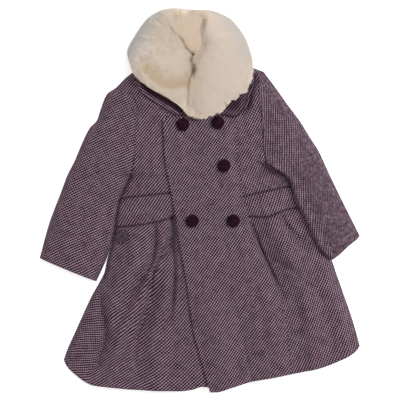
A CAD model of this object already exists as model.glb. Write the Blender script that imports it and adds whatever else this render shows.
"""A small child's double-breasted tweed overcoat with a fur collar, laid flat and buttoned, front up.

+X is to the wearer's left, +Y to the collar and +Z up from the surface that the coat lies on. The
pieces follow the order of making: back, right front, left front, sleeves, collar, fur, buttons.
Lengths are in metres for camera, lights and floor, and in millimetres for the coat.
"""

import math

import bpy
import numpy as np
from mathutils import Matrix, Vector
from mathutils.kdtree import KDTree


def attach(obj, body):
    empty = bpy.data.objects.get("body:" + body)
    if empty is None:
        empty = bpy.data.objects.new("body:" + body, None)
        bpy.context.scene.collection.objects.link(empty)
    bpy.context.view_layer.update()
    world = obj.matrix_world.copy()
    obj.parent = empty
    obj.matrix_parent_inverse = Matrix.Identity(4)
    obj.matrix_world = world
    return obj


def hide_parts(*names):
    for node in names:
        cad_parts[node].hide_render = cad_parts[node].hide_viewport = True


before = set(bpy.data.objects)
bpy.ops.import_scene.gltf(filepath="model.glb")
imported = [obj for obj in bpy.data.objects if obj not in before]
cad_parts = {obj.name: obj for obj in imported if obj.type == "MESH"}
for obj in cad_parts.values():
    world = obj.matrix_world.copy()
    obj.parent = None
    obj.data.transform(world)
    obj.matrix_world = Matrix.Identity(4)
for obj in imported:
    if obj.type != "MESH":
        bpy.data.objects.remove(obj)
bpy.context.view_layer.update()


# ---- Camera, light and floor ----
# A long lens looks straight down on the coat, which lies on a white light board, so that it throws
# almost no shadow. One broad soft light stands beyond the wearer's left shoulder, and the room gives the rest.
camera_height = 2.25
view_width = 0.6
camera_data = bpy.data.cameras.new("camera_above")
camera_data.sensor_width = 36.0
camera_data.lens = camera_data.sensor_width * camera_height / view_width
camera_data.clip_end = 10.0
camera_above = bpy.data.objects.new("camera_above", camera_data)
camera_above.location = (0.0003, -0.0008, camera_height)
bpy.context.scene.collection.objects.link(camera_above)
bpy.context.scene.camera = camera_above
bpy.context.scene.view_settings.view_transform = "Standard"

room = bpy.data.worlds.new("room")
room.use_nodes = True
room.node_tree.nodes["Background"].inputs["Color"].default_value = (1.0, 0.985, 0.975, 1.0)
room.node_tree.nodes["Background"].inputs["Strength"].default_value = 0.73
bpy.context.scene.world = room


def soft_light(name, place, size, power):
    """A square soft box that faces the middle of the coat."""
    light = bpy.data.lights.new(name, "AREA")
    light.size = size
    light.energy = power
    holder = bpy.data.objects.new(name, light)
    holder.location = place
    holder.rotation_euler = (-Vector(place)).to_track_quat("-Z", "Y").to_euler()
    bpy.context.scene.collection.objects.link(holder)


soft_light("soft_box", (1.6, 0.75, 1.9), 1.0, 53.0)

bpy.ops.object.select_all(action="DESELECT")
bpy.ops.mesh.primitive_plane_add(size=6.0, location=(0.0, 0.0, -0.0003))
floor = bpy.context.object
floor.name = "floor"
board = bpy.data.materials.new("white_board")
board.use_nodes = True
for setting, value in (("Base Color", (0.93, 0.93, 0.93, 1.0)), ("Roughness", 0.9),
                       ("Emission Color", (1.0, 1.0, 1.0, 1.0)), ("Emission Strength", 0.5)):
    board.node_tree.nodes["Principled BSDF"].inputs[setting].default_value = value
floor.data.materials.append(board)


# ---- Back bodice and back skirt ----
# Two plain panels of the same tweed, joined at the back waist, which lie flat on the board under all
# the rest. The side lines and the tools that cut, shape and weave every cloth piece start here.
MM = 0.001
MIDDLE_Y = 1.8  # the drawn lines' height above the frame's origin
CLOTH = 2.4
ARMHOLE_BLEND = 22.0
EDGE_ROUND = 1.1  # the radius of a turned or sewn edge
SEAM_SINK, DEEP_SEAM_SINK, SEAM_REACH = 1.2, 2.4, 2.2
DYE_KEPT, DYE_REACH = 0.6, 1.4
armpit_right, armpit_left = 57.0, 60.0


def smooth(rows):
    """A function that runs smoothly through rows of (place, value) and never overshoots one."""
    rows = sorted(rows)
    key, value = np.array(rows, float).T
    step = np.diff(value) / np.diff(key)
    before, after = step[:-1], step[1:]
    same = before * after > 0
    middle = np.where(same, 2 * before * after / np.where(same, before + after, 1.0), 0.0)
    slope = np.concatenate([step[:1], middle, step[-1:]])

    def at(x):
        x = np.asarray(x, float)
        i = np.clip(np.searchsorted(key, x, side="right") - 1, 0, len(key) - 2)
        width = key[i + 1] - key[i]
        t = (x - key[i]) / width
        inside = (
            (2 * t**3 - 3 * t**2 + 1) * value[i]
            + (t**3 - 2 * t**2 + t) * width * slope[i]
            + (3 * t**2 - 2 * t**3) * value[i + 1]
            + (t**3 - t**2) * width * slope[i + 1]
        )
        low, high = value[0] + (x - key[0]) * slope[0], value[-1] + (x - key[-1]) * slope[-1]
        return np.where(x <= key[0], low, np.where(x >= key[-1], high, inside))

    return at


def ease(t):
    """0 below 0, 1 above 1, and smooth in between."""
    t = np.clip(t, 0.0, 1.0)
    return t * t * (3 - 2 * t)


def lerp(a, b, t):
    return a + (b - a) * t


# Rows of y, x in millimetres: the armhole seam, then the side edge below the armpit.
right_side = smooth([
    (169, -126), (163, -117), (154, -106), (141, -99), (126, -97), (84, -97), (57, -98.5), (46, -101),
    (34, -106), (21, -113), (6, -120), (-14, -125.5), (-41, -129), (-60, -131.5), (-83, -137.6),
    (-97, -140.6), (-107, -142.7), (-119, -148.5), (-143, -162), (-191, -184), (-227, -200), (-239, -204),
])
left_side = smooth([
    (193, 96), (184, 88), (166, 89), (133, 92), (91, 95), (75, 96), (57, 102), (46, 119), (31, 137),
    (16, 145), (-3, 149.5), (-26, 162), (-47, 172), (-68, 182), (-80, 190), (-90, 198), (-107, 204),
    (-141, 216), (-179, 229), (-203, 236), (-218, 240),
])


def up(seam, low, high, shift=0.0):
    """A side of a piece that follows a seam from one height to another."""
    def side(t):
        y = lerp(low, high, t)
        return np.stack([seam(y) + shift, y], -1)
    return side


def across(line, left, right, shift=0.0):
    """A side of a piece that follows a cross seam."""
    def side(t):
        x = lerp(left, right, t)
        return np.stack([x, line(x) + shift], -1)
    return side


def evenly(line):
    """A side that runs along a fine line at an even pace."""
    along = np.concatenate([[0], np.cumsum(np.linalg.norm(np.diff(line, axis=0), axis=1))])
    along /= along[-1]
    return lambda t: np.stack([np.interp(t, along, line[:, k]) for k in (0, 1)], -1)


def through(points):
    """A smooth line through points, measured evenly along its length."""
    p = np.array(points, float)
    p = np.vstack([2 * p[0] - p[1], p, 2 * p[-1] - p[-2]])
    knots = np.concatenate([[0], np.cumsum(np.linalg.norm(np.diff(p, axis=0), axis=1) ** 0.5)])
    found = []
    for i in range(1, len(p) - 2):
        t = np.linspace(knots[i], knots[i + 1], 24, endpoint=i == len(p) - 3)[:, None]
        t0, t1, t2, t3 = knots[i - 1:i + 3]
        a1 = (t1 - t) / (t1 - t0) * p[i - 1] + (t - t0) / (t1 - t0) * p[i]
        a2 = (t2 - t) / (t2 - t1) * p[i] + (t - t1) / (t2 - t1) * p[i + 1]
        a3 = (t3 - t) / (t3 - t2) * p[i + 1] + (t - t2) / (t3 - t2) * p[i + 2]
        b1 = (t2 - t) / (t2 - t0) * a1 + (t - t0) / (t2 - t0) * a2
        b2 = (t3 - t) / (t3 - t1) * a2 + (t - t1) / (t3 - t1) * a3
        found.append((t2 - t) / (t2 - t1) * b1 + (t - t1) / (t2 - t1) * b2)
    return evenly(np.vstack(found))


def span(side):
    """The length of a side."""
    line = side(np.linspace(0, 1, 40))
    return float(np.linalg.norm(np.diff(line, axis=0), axis=1).sum())


def steps(length, pitch):
    """Places from 0 to 1 along a side, a pitch apart, and closer at both ends, where the edge is round."""
    near = np.array([0.0, 0.12, 0.4, 0.8, 1.5]) * EDGE_ROUND / length
    inner = np.linspace(near[-1], 1 - near[-1], max(2, round(length / pitch)) + 1)
    return np.concatenate([near[:-1], inner, 1 - near[-2::-1]])


def patch(left, right, bottom, top, u, v):
    """Points of a four-sided piece, blended from its sides."""
    ends = np.array([0.0, 1.0])
    corner = [[(tall(ends)[j] + flat(ends)[i]) / 2 for i, tall in enumerate((left, right))]
              for j, flat in enumerate((bottom, top))]
    uu, vv = u[None, :, None], v[:, None, None]
    flat_part = lerp(lerp(corner[0][0], corner[0][1], uu), lerp(corner[1][0], corner[1][1], uu), vv)
    return lerp(left(v)[:, None], right(v)[:, None], uu) + lerp(bottom(u)[None], top(u)[None], vv) - flat_part


def laid_weave(surface, grain, apart):
    """Weave coordinates that keep the yarns' true spacing on a folded surface and follow the grain.

    Each coordinate's steps between neighbouring points are known, and conjugate gradients find the
    values that fit them best. Points that differ in apart belong to two sides of a sharp crease."""
    turn = np.radians(grain)
    normal = np.cross(np.gradient(surface, axis=1), np.gradient(surface, axis=0))
    normal /= np.linalg.norm(normal, axis=-1, keepdims=True)
    warp = np.stack([np.cos(turn), np.sin(turn), np.zeros_like(turn)], -1)
    warp -= normal * (warp * normal).sum(-1, keepdims=True)
    warp /= np.linalg.norm(warp, axis=-1, keepdims=True)
    frame_of = np.stack([warp, np.cross(normal, warp)], -2)
    right, ahead = np.diff(surface, axis=1), np.diff(surface, axis=0)
    step_u = np.einsum("jik,jiwk->jiw", right, (frame_of[:, 1:] + frame_of[:, :-1]) / 2)
    step_v = np.einsum("jik,jiwk->jiw", ahead, (frame_of[1:] + frame_of[:-1]) / 2)

    def hold(one, other, step):
        """How strongly two neighbours keep their step: hardly at all across a sharp crease."""
        return np.where(one == other, 1.0, 1e-3)[..., None] / ((step**2).sum(-1)[..., None] + 0.05)

    hold_u, hold_v = hold(apart[:, 1:], apart[:, :-1], right), hold(apart[1:], apart[:-1], ahead)

    def spread(du, dv):
        total = np.zeros(surface.shape[:2] + (2,))
        total[:, 1:] += du * hold_u
        total[:, :-1] -= du * hold_u
        total[1:] += dv * hold_v
        total[:-1] -= dv * hold_v
        return total

    middle = tuple(n // 2 for n in turn.shape)
    weave = surface @ frame_of[middle].T
    rest = spread(step_u, step_v) - spread(np.diff(weave, axis=1), np.diff(weave, axis=0))
    way, size = rest.copy(), (rest**2).sum((0, 1))
    for _ in range(260):
        pull = spread(np.diff(way, axis=1), np.diff(way, axis=0))
        step = size / np.maximum((way * pull).sum((0, 1)), 1e-12)
        weave, rest = weave + step * way, rest - step * pull
        before, size = size, (rest**2).sum((0, 1))
        way = rest + way * size / np.maximum(before, 1e-12)
    return weave, frame_of


def mesh_object(name, points, *faces):
    """A mesh object from points in millimetres and from groups of faces with the same number of corners."""
    mesh = bpy.data.meshes.new(name)
    place = points * MM
    place[:, 1] -= MIDDLE_Y * MM
    corners = np.concatenate([group.ravel() for group in faces]).astype(np.int32)
    sizes = np.concatenate([np.full(len(group), group.shape[1]) for group in faces])
    mesh.vertices.add(len(place))
    mesh.vertices.foreach_set("co", place.astype(np.float32).ravel())
    mesh.loops.add(len(corners))
    mesh.polygons.add(len(sizes))
    mesh.loops.foreach_set("vertex_index", corners)
    mesh.polygons.foreach_set("loop_start", (np.cumsum(sizes) - sizes).astype(np.int32))
    mesh.polygons.foreach_set("use_smooth", np.ones(len(sizes), bool))
    mesh.update()
    piece = bpy.data.objects.new(name, mesh)
    bpy.context.scene.collection.objects.link(piece)
    return piece


def store(piece, name, values, kind="FLOAT"):
    """Keeps a number or a vector at each point of a piece, for its material to read."""
    key = "vector" if kind == "FLOAT_VECTOR" else "value"
    piece.data.attributes.new(name, kind, "POINT").data.foreach_set(key, np.ravel(values).astype(np.float32))


def rim_of(rows, wide):
    """The numbers of a grid's outermost points, once round."""
    return np.concatenate([
        np.arange(wide - 1), np.arange(rows - 1) * wide + wide - 1,
        (rows - 1) * wide + np.arange(wide - 1, 0, -1), np.arange(rows - 1, 0, -1) * wide])


def wall_faces(rows, wide):
    """The faces of a closed wall from an upper and a lower grid of points: its top, its underside, its rim."""
    count = rows * wide
    a = (np.arange(rows - 1)[:, None] * wide + np.arange(wide - 1)[None, :]).ravel()
    outer = np.stack([a, a + 1, a + wide + 1, a + wide], -1)
    rim = rim_of(rows, wide)
    after = np.roll(rim, -1)
    return np.vstack([outer, outer[:, ::-1] + count, np.stack([rim, rim + count, after + count, after], -1)])


def woven_mesh(name, points, top, thickness, grain, apart=None):
    """One closed wall of cloth: its outer face, its inner face and the round edge between them."""
    face = np.concatenate([points, top[..., None]], -1)
    upper = face.reshape(-1, 3)
    lower = np.concatenate([points, (top - thickness)[..., None]], -1).reshape(-1, 3)
    faces = wall_faces(*top.shape)
    piece = mesh_object(name, np.vstack([upper, lower]), faces)
    sides = np.zeros(top.shape, int) if apart is None else apart
    weave, frame_of = laid_weave(face, np.broadcast_to(grain, top.shape), sides)
    weave, frame_of, sides = weave.reshape(-1, 2), frame_of.reshape(-1, 2, 3), sides.ravel()
    flat = faces % top.size
    uv = weave[flat]
    # A face across a sharp crease takes all its corners from the side of its first corner.
    first = flat[:, :1]
    across_crease = sides[flat] != sides[first]
    carried = weave[first] + np.einsum("fck,fwk->fcw", upper[flat] - upper[first], frame_of[first[:, 0]])
    uv = np.where(across_crease[..., None], carried, uv)
    piece.data.uv_layers.new(name="weave").data.foreach_set("uv", (uv * MM).astype(np.float32).ravel())
    piece.data.update()
    piece.data.validate()
    return piece


def cut_piece(node, sides, surface, grain, pitch=1.7, thickness=CLOTH, sewn="", flush=("", 0), deep="",
              apart=None, **shades):
    """The piece of cloth that stands for a node, between four sides, with round edges and on a surface.

    Along a sewn side (l, r, b or t) the cloth is drawn down into the seam, deeper at a capital letter.
    An upright seam is pressed flatter towards the hem and the neck, and a flush side is pressed flat above a
    height. In a sewn or deep side the cloth has kept its dark dye."""
    left, right, bottom, top = sides
    wide, tall = (span(bottom) + span(top)) / 2, (span(left) + span(right)) / 2
    u, v = steps(wide, pitch), steps(tall, pitch)
    points = patch(left, right, bottom, top, u, v)
    x, y = points[..., 0], points[..., 1]
    from_edge = np.minimum(np.minimum(u, 1 - u)[None, :] * wide, np.minimum(v, 1 - v)[:, None] * tall)
    inward = np.clip(EDGE_ROUND - from_edge, 0, EDGE_ROUND)
    radius = min(EDGE_ROUND, thickness * 0.46)
    drop = radius - np.sqrt(np.maximum(radius**2 - (inward * radius / EDGE_ROUND) ** 2, 0))
    height = surface(x, y)
    pressed = lerp(0.12, 1.0, ease((y + 150) / 60) * (1 - ease((y + 60) / 35)))
    shades = {kind: amount(x, y) for kind, amount in shades.items()}
    kept = shades.get("unfaded", 0.0)
    for letter, distance in zip("lrbt", (u[None, :] * wide, (1 - u)[None, :] * wide, v[:, None] * tall,
                                         (1 - v)[:, None] * tall)):
        near = np.exp(-((distance / SEAM_REACH) ** 2))
        sink = SEAM_SINK * (letter in sewn) + DEEP_SEAM_SINK * (letter.upper() in sewn)
        height = height - sink * near * (pressed if letter in "lr" else 1.0)
        if letter in "lr" and letter in sewn:
            drop = drop * lerp(1.0, pressed, near)
        flat = ease((y - flush[1]) / 20) * (letter in flush[0])
        drop = drop * lerp(1.0, 0.12, near * flat)
        if letter in sewn.lower() + deep:
            shown = pressed if letter in "lr" and letter in sewn else 1 - flat
            kept = np.maximum(kept, DYE_KEPT * np.exp(-((distance / DYE_REACH) ** 2)) * shown)
    height = np.maximum(height, thickness)
    turned = grain(x, y) if callable(grain) else grain
    piece = woven_mesh(f"cloth_{node}", points, height - drop, thickness - 2 * drop, turned,
                       None if apart is None else apart(x, y))
    for kind, amount in {**shades, "unfaded": kept}.items():
        store(piece, kind, np.tile(np.broadcast_to(amount, x.shape).ravel(), 2))
    return piece


class Maths:
    """A shader value. Operators on it add the Math nodes that they stand for."""

    tree = None

    def __init__(self, socket):
        self.socket = socket

    @staticmethod
    def node(kind, settings, sockets):
        made = Maths.tree.nodes.new(kind)
        for key, value in settings.items():
            setattr(made, key, value)
        for key, value in sockets.items():
            value = value.socket if isinstance(value, Maths) else value
            if isinstance(value, bpy.types.NodeSocket):
                Maths.tree.links.new(value, made.inputs[key])
            else:
                made.inputs[key].default_value = value
        return made

    @staticmethod
    def maths(operation, *values):
        made = Maths.node("ShaderNodeMath", {"operation": operation}, dict(enumerate(values)))
        return Maths(made.outputs[0])

    def __add__(self, other):
        return self.maths("ADD", self, other)

    def __radd__(self, other):
        return self.maths("ADD", other, self)

    def __sub__(self, other):
        return self.maths("SUBTRACT", self, other)

    def __rsub__(self, other):
        return self.maths("SUBTRACT", other, self)

    def __mul__(self, other):
        return self.maths("MULTIPLY", self, other)

    def __rmul__(self, other):
        return self.maths("MULTIPLY", other, self)

    def cosine(self):
        return self.maths("COSINE", self)

    def between(self, low, high):
        """0 below low, 1 above high, and smooth in between."""
        made = Maths.node("ShaderNodeMapRange", {"interpolation_type": "SMOOTHSTEP"},
                          {"Value": self, "From Min": low, "From Max": high})
        return Maths(made.outputs[0])


def mixed(factor, first, second, blend="MIX"):
    made = Maths.node("ShaderNodeMix", {"data_type": "RGBA", "blend_type": blend},
                      {0: factor, 6: first, 7: second})
    return Maths(made.outputs[2])


def noise(vector, scale, detail=2.0, roughness=0.5, output="Fac"):
    made = Maths.node("ShaderNodeTexNoise", {}, {
        "Vector": vector, "Scale": scale, "Detail": detail, "Roughness": roughness})
    return Maths(made.outputs[output])


def stored(name, output="Fac"):
    """What a piece keeps at its points under a name."""
    return Maths(Maths.node("ShaderNodeAttribute", {"attribute_name": name}, {}).outputs[output])


def weave_uv():
    return Maths(Maths.node("ShaderNodeUVMap", {"uv_map": "weave"}, {}).outputs[0])


def bumped(height, strength, distance):
    made = Maths.node("ShaderNodeBump", {}, {"Height": height, "Strength": strength, "Distance": distance})
    return Maths(made.outputs[0])


def new_material(name):
    """An empty material with its surface shader, ready for nodes."""
    material = bpy.data.materials.new(name)
    material.use_nodes = True
    Maths.tree = material.node_tree
    return material, material.node_tree.nodes["Principled BSDF"]


def shade(surface, colour, normal, settings):
    """Feeds a surface its colour, its normal, if there is one, and its constant settings."""
    Maths.tree.links.new(colour.socket, surface.inputs["Base Color"])
    if normal:
        Maths.tree.links.new(normal.socket, surface.inputs["Normal"])
    for setting, value in settings.items():
        surface.inputs[setting].default_value = value


def tweed(name, dark, light):
    """Two-and-two twill of a pale and a dark yarn: rows of short pale floats, 3.4 mm apart.

    Where the cloth is brushed its nap hides the rows, where it is unfaded its pale yarns are dark too, and
    here and there it is a little worn or rosy."""
    pitch = 0.0034
    material, surface = new_material(name)
    uv = weave_uv()
    brushed = stored("brushed")
    push = Maths.node("ShaderNodeVectorMath", {"operation": "MULTIPLY_ADD"},
                      {0: noise(uv, 60.0, 3.0, output="Color"), 1: (0.0020, 0.0020, 0.0), 2: uv})
    split = Maths.node("ShaderNodeSeparateXYZ", {}, {0: push.outputs[0]})
    along, aside = Maths(split.outputs[0]), Maths(split.outputs[1])
    rows = (aside * (2 * math.pi / pitch)).cosine()
    floats = (along * (2 * math.pi / pitch)).cosine()
    yarn = noise(uv, 420.0, 4.0, 0.72) - 0.5
    patchy = noise(uv, 90.0, 2.0, 0.6) - 0.5
    fuzz = noise(uv, 190.0, 3.0, 0.6) - 0.5
    worn = noise(uv, 34.0).between(0.45, 0.7)
    crisp = 1 - brushed * 0.8 - worn * 0.3
    raised = (0.5 + (rows * 0.46 + floats * (0.26 - brushed * 0.26)) * crisp + yarn * 1.25 + patchy * 0.5
              + fuzz * brushed * 1.1)
    shown = raised.between(0.28, 1.05)
    tint = mixed(noise(uv, 900.0, 1.0).between(0.45, 0.75), (*light, 1.0),
                 (light[0] * 0.92, light[1] * 0.72, light[2] * 0.86, 1.0))
    colour = mixed(shown, (*dark, 1.0), tint)
    middle = tuple(a * 0.58 + b * 0.42 for a, b in zip(dark, light))
    colour = mixed(brushed * 0.35, colour, (*middle, 1.0))
    colour = mixed(stored("unfaded"), colour, (*dark, 1.0))
    rosy = noise(uv, 28.0).between(0.52, 0.72)
    colour = mixed(rosy * 0.5, colour, (1.0, 0.82, 0.86, 1.0), "MULTIPLY")
    shade(surface, colour, bumped(raised, 0.7, 0.0005), {
        "Roughness": 0.92, "Specular IOR Level": 0.06, "Sheen Weight": 0.02, "Sheen Roughness": 0.5})
    return material


body_tweed = tweed("coat_tweed", (0.0165, 0.0038, 0.010), (0.276, 0.204, 0.250))


def dress(piece, material=body_tweed):
    """Gives a piece its cloth, its place on the coat and the size it was cut to."""
    piece.data.materials.append(material)
    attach(piece, "root")
    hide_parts(piece.name.removeprefix("cloth_"))


HALF_SEAM = -0.05  # the pieces just meet in their seams
BACK_WAIST = -33.0


def inset(start, end, armpit, y):
    """How far a hidden piece stays inside a side line: start at the armhole, end below the armpit."""
    return lerp(start, end, ease((armpit - y) / ARMHOLE_BLEND))


def back_right(y):
    return right_side(y) + inset(2.5, 6.5, armpit_right, y)


def back_left(y):
    return left_side(y) - inset(2.5, 6.5, armpit_left, y)


def level(height):
    return lambda x: np.full_like(np.asarray(x, float), height)


def flat_back(x, y):
    return np.full_like(x, CLOTH)


waist_above, waist_below = BACK_WAIST + HALF_SEAM, BACK_WAIST - HALF_SEAM
back_bodice = cut_piece("back_bodice", (
    up(back_right, waist_above, 160), up(back_left, waist_above, 184),
    across(level(waist_above), back_right(BACK_WAIST), back_left(BACK_WAIST)),
    through([(back_right(160), 160), (-97, 186), (-72, 201), (-30, 203), (20, 203), (58, 202),
             (back_left(184), 184)])), flat_back, 50, pitch=6.0)
dress(back_bodice)
back_skirt = cut_piece("back_skirt", (
    up(back_right, -240, waist_below), up(back_left, -217, waist_below),
    through([(-197, -240), (-190, -251), (-178, -262), (-158, -273), (-120, -278), (-60, -281), (0, -279),
             (30, -281), (75, -268), (116, -260), (156, -252), (186, -245), (214, -234), (228, -225),
             (234, -217)]),
    across(level(waist_below), back_right(BACK_WAIST), back_left(BACK_WAIST))),
    flat_back, 50, pitch=6.0)
dress(back_skirt)


# ---- Wearer's right front: side front, waist band and gathered skirt ----
# The bodice panel and the skirt are sewn to a narrow band at the high waist. The skirt is gathered
# below the band, so its cloth rises and falls in soft folds, and it comes round the back at the side.
LAY_GAP, LAP_GAP, WRAP = 0.5, 1.1, 6.0
BODY_FULLNESS, BODY_SOFTNESS, HEM_EASE = 12.0, 28.0, 70.0
FAR, SLANT = 90.0, 0.9
shoulder_line = smooth([(-126, 169), (-112, 183), (-99, 193), (-72, 207), (60, 208), (80, 199), (96, 193)])
right_band_top = smooth([(-120, 3), (-99, 6), (-69, 9), (-32, 13)])
right_band_bottom = smooth([(-129, -40), (-104, -38), (-70, -33), (-54, -29), (-26, -22)])
hem_line = smooth([
    (-204, -239), (-198, -249), (-186, -260), (-169, -272), (-159, -276), (-135, -279), (-100, -282),
    (-31, -284), (0, -282), (14, -286), (24, -286), (45, -280), (75, -271), (116, -263), (156, -255),
    (186, -248), (216, -236), (233, -226), (240, -218),
])
right_hem = smooth([
    (-204, -239), (-198, -249), (-186, -260), (-169, -272), (-159, -276), (-135, -279), (-100, -282),
    (-33, -284.4), (-11, -282.2), (0, -278.3), (9, -276.8), (20, -276.5),
])
leading_edge = smooth([
    (123, -55), (90, -54), (54, -51), (29, -46), (0, -40.5), (-51, -33), (-92, -25), (-134, -18),
    (-194, -9.5), (-230, 0), (-285, 15),
])

# Each fold: the line it follows from the top, its height at the start, middle and end, and how far it
# reaches to the wearer's right and to the wearer's left. A valley also has a narrow crease along it.
folds = [
    ("hollow by the overlap", [(-42, -26), (-40, -47), (-43, -60), (-55, -80)], (-6, -7, -5), (5, 6)),
    ("inner pleat valley", [(-52, -74), (-69, -104), (-73, -131), (-76, -156), (-85, -180), (-94, -206),
                            (-97, -240)], (-7, -11, -3), (4, 15)),
    ("valley by the overlap", [(-43, -60), (-38, -98), (-40, -140), (-43, -167), (-45, -200)],
     (-3, -6, 0), (6, 4)),
    ("inner pleat ridge", [(-58, -40), (-55, -66), (-63, -99), (-79, -127), (-98, -160), (-114, -190),
                           (-131, -250)], (4, 8, 4), (8, 8)),
    ("outer pleat valley", [(-67, -38), (-67, -72), (-71, -92), (-93, -125), (-113, -146), (-126, -160)],
     (-3, -6, 0), (8, 3)),
    ("outer pleat ridge", [(-93, -44), (-97, -81), (-112, -112), (-128, -150), (-128, -200)],
     (3, 6, 3), (16, 14)),
    ("side crease", [(-153, -134), (-148, -160), (-141, -190), (-145, -216), (-156, -240)],
     (-3, -8, -5), (5, 7)),
    ("hem ridge", [(-62, -190), (-66, -284)], (2, 4, 4), (14, 14)),
    ("left pleat valley", [(78, -36), (87, -57), (93, -75), (102, -92), (111, -113), (122, -136),
                           (134, -166)], (-7, -9, -1), (4, 18)),
    ("left gather", [(124, -24), (127, -34), (138, -48), (153, -65), (166, -79)], (-6, -8, 0), (5, 7)),
    ("left cross fold", [(101, -83), (120, -95), (140, -107), (162, -126), (184, -140)],
     (-2, -4, 0), (9, 7)),
    ("left inner ridge", [(106, -34), (118, -52), (134, -82), (158, -146), (172, -252)],
     (4, 6, 6), (12, 16)),
    ("left outer ridge", [(148, -30), (165, -62), (183, -98), (206, -160), (222, -232)], (2, 5, 4), (14, 14)),
    ("overlap ridge", [(-6, -92), (8, -150), (24, -210), (44, -281)], (1, 4, 3), (16, 16)),
    ("overlap valley", [(40, -110), (56, -170), (78, -271)], (0, -3, -3), (16, 16)),
    ("overlap left ridge", [(66, -50), (84, -100), (104, -170), (116, -264)], (3, 5, 4), (14, 14)),
    ("hollow under the sleeve", [(101, 52), (116, 44), (132, 29), (140, 12), (143, -7), (152, -26),
                                 (162, -47), (178, -70)], (-8, -12, -6), (15, 8)),
    ("armpit drag line", [(97, 52), (88, 34), (80, 22)], (-4, -3, 0), (4, 4)),
    ("hollow by the collar", [(81, 178), (76, 162), (73, 148), (69, 136), (63, 127), (53, 121)],
     (-4, -7, 0), (12, 5)),
    ("hollow by the right armhole", [(-112, 170), (-101, 154), (-94, 138), (-91, 116)], (-1, -4, 0), (5, 9)),
    ("right breast fullness", [(-76, 120), (-80, 60), (-84, 20)], (0, 2.5, 0), (16, 16)),
]


def nearest(points, x, y):
    """The distance to a line of points, how far along it that is, and on which side."""
    best, along, side = np.full(x.shape, np.inf), np.zeros(x.shape), np.zeros(x.shape)
    count = len(points) - 1
    for i in range(count):
        (ax, ay), (bx, by) = points[i], points[i + 1]
        dx, dy = bx - ax, by - ay
        t = np.clip(((x - ax) * dx + (y - ay) * dy) / (dx * dx + dy * dy), 0, 1)
        distance = np.hypot(x - ax - dx * t, y - ay - dy * t)
        closer = distance < best
        best, along = np.where(closer, distance, best), np.where(closer, (i + t) / count, along)
        side = np.where(closer, dx * (y - ay) - dy * (x - ax), side)
    return best, along, side


CREASE_DEPTH, CREASE_WIDTH = 0.4, 2.2
fold_lines = [through(line)(np.linspace(0, 1, 16)) for _, line, _, _ in folds]


def fold_height(x, y):
    """The sum of all the folds at a place."""
    total = np.zeros(x.shape)
    for (_, _, (start, middle, end), (right, left)), line in zip(folds, fold_lines):
        distance, along, side = nearest(line, x, y)
        height = np.where(along < 0.5, lerp(start, middle, ease(along * 2)), lerp(middle, end, ease(along * 2 - 1)))
        total += height * np.exp(-((distance / np.where(side < 0, right, left)) ** 2))
        total += np.minimum(height, 0) * CREASE_DEPTH * np.exp(-((distance / CREASE_WIDTH) ** 2))
    return total


def standing_off(distance, softness):
    """How fully cloth stands off the board at a distance from its edge."""
    return 1 - np.exp(-distance / softness)


def body_top(x, y):
    """The outer face of the front of the body, over the back."""
    right_wrap, left_wrap = ease((armpit_right - y) / ARMHOLE_BLEND), ease((armpit_left - y) / ARMHOLE_BLEND)
    shoulder_wrap = np.maximum(ease((-62 - x) / 20), ease((x - 48) / 20))
    right = lerp(FAR, np.maximum((x - right_side(y)) * SLANT, 0), right_wrap)
    left = lerp(FAR, np.maximum((left_side(y) - x) * SLANT, 0), left_wrap)
    shoulder = lerp(FAR, np.maximum((shoulder_line(x) - y) * SLANT, 0), shoulder_wrap)
    cover = ease(right / WRAP) * ease(left / WRAP) * ease(shoulder / WRAP)
    fullness = (BODY_FULLNESS * standing_off(right, BODY_SOFTNESS) * standing_off(left, BODY_SOFTNESS)
                * standing_off(shoulder, BODY_SOFTNESS / 2)
                * lerp(0.8, 1.0, ease((y - hem_line(x)) / HEM_EASE)))
    raised = fullness + fold_height(x, y) * ease(np.minimum(right, left) / (3 * WRAP))
    raised = (raised + np.sqrt(raised * raised + 1.5)) / 2
    return CLOTH + cover * (CLOTH + LAY_GAP + raised)


def right_princess(y):
    return leading_edge(y) + 7


def meet(seam, line, y):
    """The height where an upright seam meets a cross seam."""
    for _ in range(40):
        y = (y + line(seam(y))) / 2
    return float(y)


rt_out, rt_in = meet(right_side, right_band_top, 3), meet(right_princess, right_band_top, 12)
rl_out, rl_in = meet(right_side, right_band_bottom, -40), meet(right_princess, right_band_bottom, -22)


def seam_across(line, left_seam, left_y, right_seam, right_y, shift):
    return across(line, left_seam(left_y) + HALF_SEAM, right_seam(right_y) - HALF_SEAM, shift)


every = np.linspace(0, 1, 80)
right_neckline = np.vstack([up(right_princess, rt_in + HALF_SEAM, 137, -HALF_SEAM)(every),
                            through([(-48, 141), (-62, 170), (-74, 206)])(every)])
right_side_front = cut_piece("right_side_front", (
    up(right_side, rt_out + HALF_SEAM, 169, HALF_SEAM), evenly(right_neckline),
    seam_across(right_band_top, right_side, rt_out, right_princess, rt_in, HALF_SEAM),
    through([(-126, 169), (-112, 183), (-99, 193), (-74, 206)])), body_top, 51, sewn="B", flush=("l", 60),
    deep="l")
dress(right_side_front)
right_band = cut_piece("right_waist_band", (
    up(right_side, rl_out + HALF_SEAM, rt_out - HALF_SEAM, HALF_SEAM),
    up(right_princess, rl_in + HALF_SEAM, rt_in - HALF_SEAM, -HALF_SEAM),
    seam_across(right_band_bottom, right_side, rl_out, right_princess, rl_in, HALF_SEAM),
    seam_across(right_band_top, right_side, rt_out, right_princess, rt_in, -HALF_SEAM)),
    body_top, 58, sewn="BT", deep="l")
dress(right_band)


side_crease = smooth([(-130, -153), (-160, -148), (-190, -141), (-216, -145), (-240, -156)])


def beyond_crease(x, y):
    return ((x < side_crease(y)) & (y < -128)).astype(int)


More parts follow.
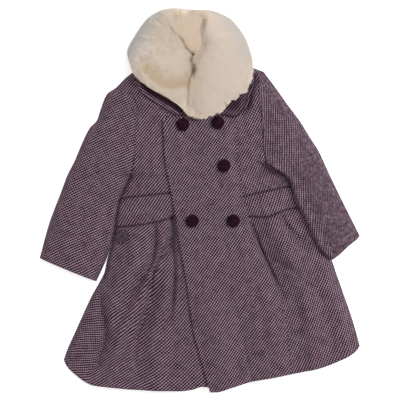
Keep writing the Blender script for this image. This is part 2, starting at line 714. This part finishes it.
def right_skirt_grain(x, y):
    """The gathers turn the grain: steep by the overlap, flatter outwards, level beyond the side crease."""
    return np.where(beyond_crease(x, y) == 1, 3.0, lerp(34.0, 46.0, ease((x + 95) / 60)))


right_skirt = cut_piece("right_skirt_front", (
    up(right_side, -239, rl_out - HALF_SEAM, HALF_SEAM),
    up(right_princess, -276.5, rl_in - HALF_SEAM, -HALF_SEAM),
    across(right_hem, -204, right_princess(-276.5) - HALF_SEAM),
    seam_across(right_band_bottom, right_side, rl_out, right_princess, rl_in, -HALF_SEAM)),
    body_top, right_skirt_grain, sewn="T", apart=beyond_crease)
dress(right_skirt)


# ---- Right centre front, the under-lap ----
# A plain panel that the overlap hides, from neckline to hem. It is sewn to the right front's pieces
# just inside the overlap's edge, and the real one takes the buttonholes of the hidden fastening.
under_lap_edge = smooth([(135, 30), (0, 42), (-100, 62), (-268, 98)])
right_centre = cut_piece("right_centre_front", (
    up(right_princess, -278, 141, HALF_SEAM), up(under_lap_edge, -262, 135),
    across(lambda x: hem_line(x) + 4, right_princess(-278) + HALF_SEAM, under_lap_edge(-262)),
    through([(-48, 141), (-20, 140), (8, 138), (30, 135)])), body_top, 55, pitch=5.0)
dress(right_centre)


# ---- Left centre front, the overlap ----
# One panel from the neckline to the hem, with a turned free edge on the wearer's right. It lies on the
# under-lap and carries the buttons, and its other side is the left princess seam.
left_princess = smooth([
    (190, 58), (163, 56.5), (133, 55.4), (106, 55.2), (66, 57), (24, 62), (-8, 68), (-39, 78), (-78, 95),
    (-126, 116), (-149, 123), (-200, 131), (-263, 137),
])


def overlap_top(x, y):
    lift = 1 - ease((x - under_lap_edge(y) - 4) / 15)
    return body_top(x, y) + lift * (LAP_GAP + CLOTH)


hem_at_princess = meet(left_princess, hem_line, -259)
overlap = cut_piece("left_centre_front", (
    up(leading_edge, -285, 121), up(left_princess, hem_at_princess, 188, -HALF_SEAM),
    across(hem_line, leading_edge(-285), left_princess(hem_at_princess) - HALF_SEAM),
    through([(leading_edge(121), 121), (-38, 124), (-18, 126), (8, 127), (34, 141), (50, 165),
             (left_princess(188) - HALF_SEAM, 188)])), overlap_top, 56, sewn="r")
dress(overlap)


# ---- Wearer's left front: side front, waist band and gathered skirt ----
# The same three pieces on the other side. Here the sleeve stands a little off the body, and the side
# front sinks into the hollow under it.
left_band_top = smooth([(62, 4), (81, 10), (105, 15), (134, 21), (150, 22)])
left_band_bottom = smooth([(71, -24), (96, -25), (116, -18.5), (132, -13), (155, -10)])
lt_in, lt_out = meet(left_princess, left_band_top, 5), meet(left_side, left_band_top, 22)
ll_in, ll_out = meet(left_princess, left_band_bottom, -24), meet(left_side, left_band_bottom, -11)
left_side_front = cut_piece("left_side_front", (
    up(left_princess, lt_in + HALF_SEAM, 190, HALF_SEAM), up(left_side, lt_out + HALF_SEAM, 193, -HALF_SEAM),
    seam_across(left_band_top, left_princess, lt_in, left_side, lt_out, HALF_SEAM),
    through([(left_princess(190) + HALF_SEAM, 190), (64, 203), (80, 199), (96, 193)])),
    body_top, lambda x, y: lerp(70.0, 61.0, ease((y - 20) / 60)), sewn="lB", flush=("r", 65),
    deep="r", brushed=lambda x, y: 0.8 * ease((x - 104) / 14) * ease((62 - y) / 12))
dress(left_side_front)
left_band = cut_piece("left_waist_band", (
    up(left_princess, ll_in + HALF_SEAM, lt_in - HALF_SEAM, HALF_SEAM),
    up(left_side, ll_out + HALF_SEAM, lt_out - HALF_SEAM, -HALF_SEAM),
    seam_across(left_band_bottom, left_princess, ll_in, left_side, ll_out, HALF_SEAM),
    seam_across(left_band_top, left_princess, lt_in, left_side, lt_out, -HALF_SEAM)),
    body_top, 70, sewn="lBT")
dress(left_band)
left_skirt = cut_piece("left_skirt_front", (
    up(left_princess, hem_at_princess, ll_in - HALF_SEAM, HALF_SEAM),
    up(left_side, -218, ll_out - HALF_SEAM, -HALF_SEAM),
    across(hem_line, left_princess(hem_at_princess) + HALF_SEAM, 240),
    seam_across(left_band_bottom, left_princess, ll_in, left_side, ll_out, -HALF_SEAM)),
    body_top, 67, sewn="lT")
dress(left_skirt)


# ---- Sleeves ----
# Two-piece coat sleeves, pressed flat: an under sleeve on the board and a top sleeve arched over it,
# open at the cuff. The wearer's left sleeve is brushed softer and paler.
SLEEVE_FULLNESS, SLEEVE_SOFTNESS, LIFT_WIDTH, INNER_WRAP = 13.0, 15.0, 16.0, 4.0
right_outer = smooth([
    (169, -126), (160, -139), (133, -150), (121, -154), (109, -165), (85, -177), (61, -187), (37, -199),
    (13, -208), (-35, -226), (-86, -240),
])
right_inner = smooth([
    (126, -97), (84, -97), (57, -98.5), (40, -103), (25, -110), (10, -117), (-9, -123), (-32, -126),
    (-56, -130.4), (-70, -134), (-77, -136.4), (-88, -140.2), (-97, -143.9), (-106, -148), (-115, -152.3),
    (-121, -155),
])
left_outer = smooth([
    (193, 96), (169, 114), (145, 131), (121, 149), (97, 164), (73, 179), (49, 190), (1, 213), (-23, 225),
    (-41, 234), (-53, 240),
])
left_inner = smooth([
    (184, 88), (166, 89), (133, 92), (91, 95), (75, 96), (57, 102), (46, 116), (34, 130), (19, 138),
    (0, 142), (-14, 150), (-30, 158), (-52, 168), (-73, 179), (-89, 197),
])


def sleeve_surfaces(outer_line, inner_line, outward, armpit, lift_height, lift_ends):
    """The outer faces of a top sleeve and of an under sleeve."""
    def lift(x, y):
        inner = np.maximum((x - inner_line(y)) * outward * SLANT, 0)
        beside = ease((armpit - y) / ARMHOLE_BLEND) * ease((y - lift_ends) / 25 + 1)
        return lift_height * beside * (1 - ease(inner / LIFT_WIDTH))

    def top(x, y):
        outer = np.maximum((outer_line(y) - x) * outward * SLANT, 0)
        inner = np.maximum((x - inner_line(y)) * outward * SLANT, 0)
        wrapped = lerp(FAR, inner, ease((armpit - y) / ARMHOLE_BLEND))
        cover = ease(outer / WRAP) * ease(wrapped / INNER_WRAP)
        fullness = (SLEEVE_FULLNESS * standing_off(outer, SLEEVE_SOFTNESS)
                    * standing_off(wrapped, SLEEVE_SOFTNESS))
        return CLOTH + lift(x, y) + cover * (CLOTH + LAY_GAP + fullness)

    return top, lambda x, y: CLOTH + lift(x, y)


right_top_face, right_under_face = sleeve_surfaces(right_outer, right_inner, -1, armpit_right, 5.6, -62)
left_top_face, left_under_face = sleeve_surfaces(left_outer, left_inner, 1, armpit_left, 9.0, -110)
right_under = cut_piece("right_under_sleeve", (
    up(lambda y: right_outer(y) + 6.5, -84, 156),
    up(lambda y: right_inner(y) - inset(1.0, 6.5, armpit_right, y), -118, 126),
    through([(-234, -84), (-198, -100), (-160, -117)]),
    through([(-132, 156), (-118, 158), (-107, 152), (-100.5, 141), (-97.5, 126)])),
    right_under_face, 25, pitch=5.0)
dress(right_under)
right_top = cut_piece("right_top_sleeve", (
    up(right_outer, -86, 169), up(right_inner, -121, 126, 0.2),
    through([(-240, -86), (-198, -103.5), (-155, -121)]), evenly(up(right_side, 169, 126, 0.2)(every))),
    right_top_face, 25, flush=("rt", 60), deep="r")
dress(right_top)
left_under = cut_piece("left_under_sleeve", (
    up(lambda y: left_inner(y) + inset(1.0, 6.5, armpit_left, y), -84, 176),
    up(lambda y: left_outer(y) - 6.5, -51, 178),
    through([(198, -83), (216, -68), (234, -52)]), through([(89, 176), (101, 178)])),
    left_under_face, 90, pitch=5.0)
dress(left_under)
worn_from = smooth([(192, 93), (150, 103), (128, 124), (112, 148), (76, 151), (34, 156), (-17, 176), (-59, 192)])


def left_sleeve_grain(x, y):
    """The rows run down the sleeve, turn a little with the forearm and arch over at the shoulder."""
    over_the_head = ease((y - 164) / 20) * (1 - ease((x - 88) / 26))
    return lerp(78.0, 91.0, ease((y + 70) / 110)) + 38 * over_the_head


left_top = cut_piece("left_top_sleeve", (
    up(left_inner, -89, 184, -0.2), up(left_outer, -53, 193),
    through([(197, -89), (207, -82), (222, -68), (236, -57), (240, -53)]),
    evenly(up(left_side, 184, 193, -0.2)(every))), left_top_face, left_sleeve_grain, flush=("lt", 65),
    brushed=lambda x, y: lerp(0.35, 1.0, ease((x - worn_from(y) + 7) / 14)))
dress(left_top)


# ---- Under-collar ----
# The tweed lining of the fur collar shows as a narrow turned strip below the fur on the wearer's
# right, and only just on the left.
def collar_strip(node, low, high, surface, grain, unfaded):
    def end(i):
        return lambda t: lerp(np.array(low[i], float), np.array(high[i], float), np.asarray(t)[..., None])
    low_line = through(low)(np.linspace(0, 1, 24))
    return cut_piece(node, (end(0), end(-1), through(low), through(high)), surface, grain,
                     unfaded=lambda x, y: unfaded(nearest(low_line, x, y)[0]))


def highest(surface, reach, x, y):
    """The highest place of a surface within reach: what lies over it bridges its hollows."""
    ways = [(0, 0)] + [(math.cos(math.radians(a)), math.sin(math.radians(a))) for a in range(0, 360, 45)]
    return np.max([surface(x + dx * reach, y + dy * reach) for dx, dy in ways], axis=0)


right_collar = collar_strip(
    "right_under_collar",
    [(-97, 178), (-90, 167), (-82, 156.5), (-68, 147.4), (-54, 139), (-45, 134), (-37.5, 129), (-33, 126.8)],
    [(-86, 191), (-70, 178), (-52, 164), (-38, 152), (-22, 134.5)],
    lambda x, y: body_top(x, y) + LAP_GAP + CLOTH + 2 * ease((x + 75) / 40), 147,
    lambda inside: 0.9 * ease((inside - 3.5) / 3.5))
dress(right_collar)
left_collar = collar_strip(
    "left_under_collar",
    [(6, 122), (20, 127.5), (33, 127.5), (44, 125), (53, 124.5), (61, 128.5), (66.5, 136), (70, 146), (73, 158),
     (79, 172)], [(2, 134), (18, 140), (33, 147), (46, 158), (56, 170), (66, 184)],
    lambda x, y: highest(overlap_top, 6, x, y) + LAP_GAP + CLOTH, 48,
    lambda inside: 0.42 + 0.45 * np.exp(-((inside / 2.5) ** 2)) + 0.4 * ease((inside - 7) / 5))
dress(left_collar)


# ---- Pocket lining ----
# A small tongue of plain dark felt-like lining that shows at the end of the right band, by the sleeve.
LINING = 1.2
lining_cloth, lining_surface = new_material("pocket_lining_cloth")
felt = noise(weave_uv(), 330.0, 4.0, 0.7)
shade(lining_surface, mixed(felt.between(0.4, 0.66), (0.016, 0.006, 0.012, 1.0), (0.110, 0.066, 0.092, 1.0)),
      None, {"Roughness": 0.95})
pocket_lining = cut_piece("right_pocket_lining", (
    through([(-125, -62), (-124, -43)]), through([(-115, -64), (-108, -59), (-106, -52), (-110, -44)]),
    through([(-125, -62), (-115, -64)]), through([(-124, -43), (-117, -42), (-110, -44)])),
    lambda x, y: body_top(x, y) + LAP_GAP + LINING, 0, pitch=1.5, thickness=LINING)
dress(pocket_lining, lining_cloth)


# ---- Fur collar ----
# Two thick rolls of cream fur meet at the centre front, and the fur inside the back neck shows in the
# V between them. Each is a soft backing with a dense pile of fine hair, combed outwards.
PILE = 6.0
ROLL_HAIRS, ROLL_HAIR, NECK_HAIRS, NECK_HAIR = 60000, 10.0, 12000, 8.0
HAIRS_IN_TUFT, HAIRS_IN_CLUMP = 55, 150
SEAM_WIDTH, PARTING = 1.8, 11.0
BACKING_GAP = 0.2


def inside_body(x, y):
    return (y < shoulder_line(x)) & (x > right_side(y)) & (x < left_side(y))


def collar_underside(x, y):
    return highest(lambda px, py: np.where(inside_body(px, py), overlap_top(px, py) + LAP_GAP + CLOTH + 0.8, 0.0),
                   9, x, y)


rolls = {
    "right": {
        "outer": [(-16, 287), (-42, 289), (-60, 285), (-78, 274), (-96, 250), (-109, 225), (-107, 211),
                  (-98, 186), (-78, 169), (-42, 148), (-27, 136), (-18, 124)],
        "inner": [(-16, 270), (-30, 271), (-43, 263), (-36, 250), (-25, 232), (-13, 213), (-8.5, 203),
                  (-8.5, 181), (-11, 151), (-11, 128)],
        "height": [(0, 34), (0.25, 42), (0.55, 47), (0.8, 37), (1, 23)],
        "inner_share": [(0, 0.93), (0.25, 0.9), (0.5, 0.9), (1, 0.85)],
        "crease": [(-75, 196), (-66, 185), (-54, 176), (-37, 171), (-20, 173), (-10, 181)],
        "crease_depth": 1.5, "seam_share": 1.0, "over": 1.0, "ragged": 0.25,
    },
    "left": {
        "outer": [(-16, 287), (0, 286), (18, 285), (33, 280), (48, 272), (60, 258), (69, 244), (75, 226),
                  (79, 211), (80, 198), (78, 179), (67, 160), (51, 150), (36, 133), (21, 126), (2, 120),
                  (-8, 121)],
        "inner": [(-16, 270), (-5, 271.5), (4, 266.5), (1, 256), (-1.5, 245), (1, 235), (-1, 220), (-7, 209),
                  (-8.5, 203), (-8.5, 181), (-11, 151), (-11, 128)],
        "height": [(0, 34), (0.25, 44), (0.5, 54), (0.8, 42), (1, 25)],
        "inner_share": [(0, 0.93), (0.25, 0.93), (0.5, 0.92), (1, 0.87)],
        "crease": [(20, 250), (12, 236)],
        "crease_depth": 0, "seam_share": 0.1, "over": 0.8, "ragged": 1.0,
    },
}


seam_depth = smooth([(125, 0.4), (150, 0.4), (175, 0.6), (186, 2), (196, 7), (203, 7), (216, 4), (235, 2),
                     (246, 0.5), (252, 0)])
# How far the hair at the inner edge leans over it (less than 0) or away from it: below the V it hides the join.
over_seam = smooth([(120, -0.5), (176, -0.5), (190, -0.1), (205, -0.1), (225, -0.7), (245, -0.6), (262, -0.3)])


def fur_material(name, root, tip, edge):
    """Fine soft hair: darker at the root, paler at the tip, uneven from tuft to tuft, greyer at the edge."""
    material, surface = new_material(name)
    colour = mixed(stored("along_hair").between(0.0, 0.9), (*root, 1.0), (*tip, 1.0))
    colour = mixed(stored("grey"), colour, (*edge, 1.0))
    colour = mixed(stored("tone"), colour, (0.84, 0.63, 0.43, 1.0))
    shade(surface, colour, stored("lay", "Vector"), {
        "Roughness": 0.8, "Specular IOR Level": 0.2, "Sheen Weight": 0.3})
    return material


def grid_normals(grid):
    """Upward unit normals of a grid of points."""
    du = np.gradient(grid, axis=1)
    dv = np.gradient(grid, axis=0)
    n = np.cross(du, dv)
    n /= np.maximum(np.linalg.norm(n, axis=-1, keepdims=True), 1e-9)
    return n * np.where(n[..., 2:].mean() < 0, -1, 1)


def upright(normal):
    """Fur scatters light from hair to hair, so it is shaded as if it faced mostly up."""
    turned = normal * 0.12 + np.array([0.0, 0.0, 0.88])
    return turned / np.linalg.norm(turned, axis=-1, keepdims=True)


def gathered(chosen, root):
    """The hairs that lead a tuft, and which of them each hair is nearest to."""
    tree = KDTree(len(chosen))
    for k, p in enumerate(root[chosen]):
        tree.insert(p, k)
    tree.balance()
    return chosen, np.array([tree.find(p)[1] for p in root])


def grow_pile(name, grid, comb, count, length, seed, material, tan, grey, ragged, outside):
    """Grows flat tapered hairs, in tufts, on a grid of points, leaning along the comb direction.

    Where tan is 1 the hair is yellowed, where grey is 1 it has the edge's colour, and where ragged is 1
    its tufts are long and loose.
    Outside gives how far a place lies outside the edge of the fur, where each hair ends."""
    rng = np.random.default_rng(seed)
    normals = grid_normals(grid)
    a, b, c = grid[:-1, :-1], grid[:-1, 1:], grid[1:, :-1]
    area = np.linalg.norm(np.cross(b - a, c - a), axis=-1)
    cell = rng.choice(area.size, count, p=(area / area.sum()).ravel())
    j, i = np.unravel_index(cell, area.shape)
    s, t = rng.random((2, count, 1))

    def sample(field):
        return lerp(lerp(field[j, i], field[j, i + 1], s), lerp(field[j + 1, i], field[j + 1, i + 1], s), t)

    root, normal, lean = sample(grid), sample(normals), sample(comb)
    loose, yellowed, greyed = sample(ragged[..., None]), sample(tan[..., None])[:, 0], sample(grey[..., None])
    normal /= np.linalg.norm(normal, axis=1, keepdims=True)
    lean -= normal * (lean * normal).sum(1, keepdims=True)
    lean /= np.maximum(np.linalg.norm(lean, axis=1, keepdims=True), 1e-9)
    side = np.cross(normal, lean)
    # Tufts: every hair leans the way of the nearest tuft, and its tip is drawn towards the tuft's tip.
    tufts, mine = gathered(rng.choice(count, count // HAIRS_IN_TUFT, replace=False), root)
    clumps, clump = gathered(rng.choice(count, count // HAIRS_IN_CLUMP, replace=False), root)
    swing = (rng.normal(0, 0.13, len(tufts))[mine] + rng.normal(0, 0.45, len(clumps))[clump] * loose[:, 0]
             + rng.normal(0, 0.25, count))
    rise = np.radians(rng.normal(27, 3, len(tufts))[mine] + rng.normal(0, 7, count))
    way = lean * np.cos(swing)[:, None] + side * np.sin(swing)[:, None]
    longer = 1 + loose[:, 0] * rng.uniform(-0.3, 1.1, len(clumps))[clump]
    reach = (length * rng.uniform(0.72, 1.08, count) * longer)[:, None]
    flat = way * np.cos(rise)[:, None]
    tip = root + reach * (flat * 0.92 + normal * np.sin(rise)[:, None])
    middle = root + reach * (flat * 0.40 + normal * np.sin(rise)[:, None] * 0.66)
    tip = lerp(tip, tip[tufts][mine], 0.04)
    # Hair that reaches past the edge of the fur is shorter, but a loose clump ends in a point beyond it.
    past = rng.uniform(-0.9, 0.6, count) - rng.uniform(0, 2.6, count) * loose[:, 0]
    past[clumps] = rng.uniform(-0.5, 6.5, len(clumps)) * loose[clumps, 0]
    inside, beyond = outside(root[:, 0], root[:, 1]), outside(tip[:, 0], tip[:, 1])
    kept = np.clip((past - inside) / np.maximum(beyond - inside, 0.01), 0.25, 1)[:, None]
    kept = np.where((beyond > past)[:, None], kept, 1.0)
    tip, middle = lerp(root, tip, kept), lerp(root, middle, kept)
    tip = lerp(tip, tip[clumps][clump], 0.85 * loose * rng.random((count, 1)) ** 0.7)
    middle = lerp(middle, middle[clumps][clump], 0.5 * loose * rng.random((count, 1)))
    tip[:, 2] = np.maximum(tip[:, 2], 0.6)
    middle[:, 2] = np.maximum(middle[:, 2], 0.6)
    wide = np.cross(way, normal) * rng.uniform(0.10, 0.19, (count, 1))
    co = np.stack([root - wide, root + wide, middle - wide * 0.8, middle + wide * 0.8, tip], 1).reshape(-1, 3)
    first = np.arange(count)[:, None] * 5
    piece = mesh_object(name, co, first + np.array([0, 1, 3, 2]), first + np.array([2, 3, 4]))
    streaked = (rng.random(len(tufts)) < 0.08)[mine]
    tuft_tone = (0.5 * rng.beta(1.2, 5.0, len(tufts))[mine] + 0.45 * rng.beta(0.8, 4.0, len(clumps))[clump]
                 + rng.normal(0, 0.03, count) + yellowed * (1 + 1.5 * streaked) - 0.08)
    store(piece, "along_hair", np.tile([0, 0, 0.55, 0.55, 1], count))
    store(piece, "tone", np.repeat(np.clip(tuft_tone, 0, 1), 5))
    store(piece, "grey", np.repeat(greyed, 5))
    store(piece, "lay", np.repeat(upright(normal), 5, axis=0), "FLOAT_VECTOR")
    piece.data.materials.append(material)
    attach(piece, "root")
    return piece


def closed_grid(name, grid, under):
    """A closed soft body from a grid of upper points and one of lower heights."""
    lower = grid.copy()
    lower[..., 2] = under
    piece = mesh_object(name, np.vstack([grid.reshape(-1, 3), lower.reshape(-1, 3)]), wall_faces(*grid.shape[:2]))
    bpy.ops.object.select_all(action="DESELECT")
    bpy.context.view_layer.objects.active = piece
    piece.select_set(True)
    bpy.ops.object.mode_set(mode="EDIT")
    bpy.ops.mesh.select_all(action="SELECT")
    bpy.ops.mesh.normals_make_consistent(inside=False)
    bpy.ops.object.mode_set(mode="OBJECT")
    normals = np.zeros(len(piece.data.vertices) * 3, np.float32)
    piece.data.vertices.foreach_get("normal", normals)
    store(piece, "along_hair", np.full(len(piece.data.vertices), 0.15))
    store(piece, "tone", np.full(len(piece.data.vertices), 0.2))
    store(piece, "lay", upright(normals.reshape(-1, 3)), "FLOAT_VECTOR")
    return piece


cream_fur = fur_material("cream_fur", (0.95, 0.74, 0.56), (0.99, 0.85, 0.71), (0.99, 0.94, 0.91))
pale_fur = fur_material("outer_roll_fur", (0.84, 0.66, 0.52), (0.88, 0.76, 0.66), (0.74, 0.68, 0.63))
tan_fur = fur_material("back_neck_fur", (0.88, 0.66, 0.47), (0.90, 0.73, 0.57), (0.88, 0.74, 0.60))


def fur_roll(side, towards_outer, seed, hair):
    """The backing of one roll, a pile's depth inside its solid, and the hair that fills the rest.

    Returns the roll's inner edge and its height there, which the fur of the back neck takes up."""
    shape = rolls[side]
    outer, inner = through(shape["outer"]), through(shape["inner"])
    height, share = smooth(shape["height"]), smooth(shape["inner_share"])
    v = np.linspace(0, 1, 110)
    u = (1 - np.cos(np.pi * np.linspace(0, 1, 44))) / 2
    a, b = inner(v)[:, None], outer(v)[:, None]
    wide = np.linalg.norm(b - a, axis=-1)[..., None]
    ragged = ease((v[:, None] - 0.5) / 0.12) * shape["ragged"]
    keep = np.clip(1 - (PILE * 0.8 + 1.0 * ragged[..., None]) / np.maximum(wide, 1), 0.3, 1)
    uu = u[None, :, None] * keep
    points = lerp(a, b, uu)
    points[..., 0] += 0.2 * towards_outer * np.maximum(1 - uu[..., 0], 1 - 6 * v[:, None])
    x, y = points[..., 0], points[..., 1]
    start = np.arcsin(share(v)) / np.pi
    arch = np.maximum(np.sin(np.pi * lerp(start[:, None], 1.0, u[None, :])), 0) ** 0.7
    under = collar_underside(x, y)
    # The edges come down to the body, and more slowly to the board beyond the shoulders.
    low = 4 + np.maximum(under, 22 * (1 - ease((y - shoulder_line(x) - 9) / 36)))
    crease, _, above = nearest(through(shape["crease"])(np.linspace(0, 1, 14)), x, y)
    top = np.maximum(lerp(low, height(v)[:, None], arch)
                     - shape["crease_depth"] * np.exp(-((crease / 8) ** 2)) * arch, low)
    # Along the inner edge the two rolls turn down into a narrow valley.
    from_seam = wide[..., 0] * uu[..., 0]
    valley = seam_depth(y) * np.where(y > 207, shape["seam_share"], 1.0)
    top -= valley * np.exp(-((from_seam / SEAM_WIDTH) ** 2))
    top = np.maximum(top - PILE * 0.75, under + 1.2)
    grid = np.concatenate([points, top[..., None]], -1)
    backing = closed_grid(f"fur_backing_{side}", grid, under + BACKING_GAP)
    backing.data.materials.append(hair)
    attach(backing, "root")
    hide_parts(f"{side}_fur_collar")
    outward, down = np.gradient(grid, axis=1), np.gradient(grid, axis=0)
    outward /= np.linalg.norm(outward, axis=-1, keepdims=True) + 1e-9
    down /= np.linalg.norm(down, axis=-1, keepdims=True) + 1e-9
    comb = (outward * lerp(shape["over"] * over_seam(y)[..., None], 1.0, ease(from_seam[..., None] / PARTING))
            + down * lerp(-0.5, 0.3, ease(v[:, None, None] / 0.12)))
    # The fur is yellowed in the seam, and above the crease more than below it.
    tan = ((0.35 + 0.06 * valley) * np.exp(-((from_seam / SEAM_WIDTH) ** 2))
           + 0.3 * (1 - shape["seam_share"]) * np.exp(-((from_seam / 6) ** 2)) + (shape["crease_depth"] > 0)
           * (0.35 * np.exp(-((crease / 1.6) ** 2)) + 0.9 * np.exp(-((crease / np.where(above > 0, 15, 3)) ** 2))))
    grey = ease((u[None, :] - 0.4) / 0.5) * ease((y - 190) / 40)
    edge = outer(np.linspace(0, 1, 60))

    def outside(px, py):
        far, _, beside = nearest(edge, px, py)
        return np.where(beside * towards_outer > 0, far, -far)

    grow_pile(f"fur_pile_{side}", grid, comb, ROLL_HAIRS, ROLL_HAIR, seed, hair, tan, grey,
              ragged * ease((u - 0.75) / 0.2), outside)
    return inner, top[:, 0] + valley[:, 0]


right_rim, right_rise = fur_roll("right", -1, 11, cream_fur)
left_rim, left_rise = fur_roll("left", 1, 12, pale_fur)

# The fur of the back neck fills the V between the rolls' inner edges, at the same height.
neck_v, neck_u = np.linspace(0.02, 0.46, 44), np.linspace(0, 1, 22)
neck_points = lerp(right_rim(neck_v)[:, None], left_rim(neck_v)[:, None], neck_u[None, :, None])
neck_x, neck_y = neck_points[..., 0], neck_points[..., 1]
neck_under = collar_underside(neck_x, neck_y)
every_v = np.linspace(0, 1, len(right_rise))
neck_top = lerp(np.interp(neck_v, every_v, right_rise)[:, None], np.interp(neck_v, every_v, left_rise)[:, None],
                neck_u[None, :])
neck_wide = np.linalg.norm(neck_points[:, -1] - neck_points[:, 0], axis=-1)[:, None]
neck_valley = seam_depth(neck_y) * (np.exp(-((neck_wide * neck_u / SEAM_WIDTH) ** 2))
                                     + 0.1 * np.exp(-((neck_wide * (1 - neck_u) / SEAM_WIDTH) ** 2)))
neck_top = np.maximum(neck_top - neck_valley + 0.8 * ease((neck_y - 212) / 15) * neck_u, neck_under + 3)
neck_grid = np.stack([neck_x, neck_y, neck_top], -1)
back_neck = closed_grid("fur_backing_back_neck", neck_grid, neck_under + BACKING_GAP)
back_neck.data.materials.append(tan_fur)
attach(back_neck, "root")
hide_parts("back_neck_fur")
neck_plain = np.zeros(neck_x.shape)
# Its hair points to the top of the V, but for the lowest, which hides the join below it.
neck_comb = np.stack([neck_plain, lerp(-1.0, 1.0, ease((neck_y - 210) / 12)), neck_plain], -1)
grow_pile("fur_pile_back_neck", neck_grid, neck_comb, NECK_HAIRS, NECK_HAIR, 13, tan_fur,
          0.25 * (1 - ease((neck_y - 207) / 40)) + 0.075 * neck_valley, neck_plain, neck_plain,
          lambda x, y: np.full_like(x, -50.0))


# ---- Covered buttons ----
# Domes covered in dark aubergine velvet, sewn to the overlap by a shank. The nap is pushed about, so it
# is matt with paler brushed places.
button_radius, button_height, button_foot = 9.75, 7.0, 7.6
buttons = [
    ("button_top_right", -25, 113), ("button_top_left", 27, 116), ("button_middle_left", 36, 52),
    ("button_low_right", -11, -30), ("button_low_left", 50, -30),
]
velvet, velvet_surface = new_material("button_velvet")
where = Maths(Maths.node("ShaderNodeTexCoord", {}, {}).outputs["Object"])
nap = noise(where, 260.0, 3.0, 0.6)
shade(velvet_surface, mixed(nap.between(0.3, 0.8), (0.006, 0.0014, 0.003, 1.0), (0.028, 0.006, 0.013, 1.0)),
      bumped(noise(where, 1500.0, 3.0, 0.7), 0.5, 0.0003), {
          "Roughness": 0.9, "Specular IOR Level": 0.05, "Sheen Weight": 0.06, "Sheen Tint": (0.8, 0.55, 0.7, 1.0)})

for button_name, bx, by in buttons:
    turn = np.linspace(0, 2 * math.pi, 16, endpoint=False)
    ring = overlap_top(bx + button_radius * np.cos(turn), by + button_radius * np.sin(turn))
    seat = max(float(ring.max()), float(overlap_top(np.array(bx, float), np.array(by, float)))) + 0.3
    place = (bx * MM, (by - MIDDLE_Y) * MM, (seat + button_height / 2) * MM)
    bpy.ops.object.select_all(action="DESELECT")
    bpy.ops.mesh.primitive_uv_sphere_add(segments=48, ring_count=24, radius=button_radius * MM, location=place)
    button = bpy.context.object
    button.name = f"velvet_{button_name}"
    bpy.ops.object.transform_apply(location=True, rotation=False, scale=False)
    for vertex in button.data.vertices:
        flat = Vector((vertex.co.x - place[0], vertex.co.y - place[1])) / (button_radius * MM)
        rise = max(-1.0, min(1.0, (vertex.co.z - place[2]) / (button_radius * MM)))
        if rise >= 0:
            vertex.co.z = (seat + 2) * MM + (button_height - 2) * MM * rise**0.9
        else:
            vertex.co.z = (seat + 2 * (1 + rise) ** 0.5) * MM
            shrink = lerp(button_foot / button_radius, 1.0, float(ease(1 + rise * 1.2)))
            if flat.length > 0.05:
                vertex.co.x = place[0] + flat.x * button_radius * MM * min(1.0, shrink)
                vertex.co.y = place[1] + flat.y * button_radius * MM * min(1.0, shrink)
    bpy.ops.object.shade_smooth()
    button.data.materials.append(velvet)
    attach(button, "root")
    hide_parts(button_name)
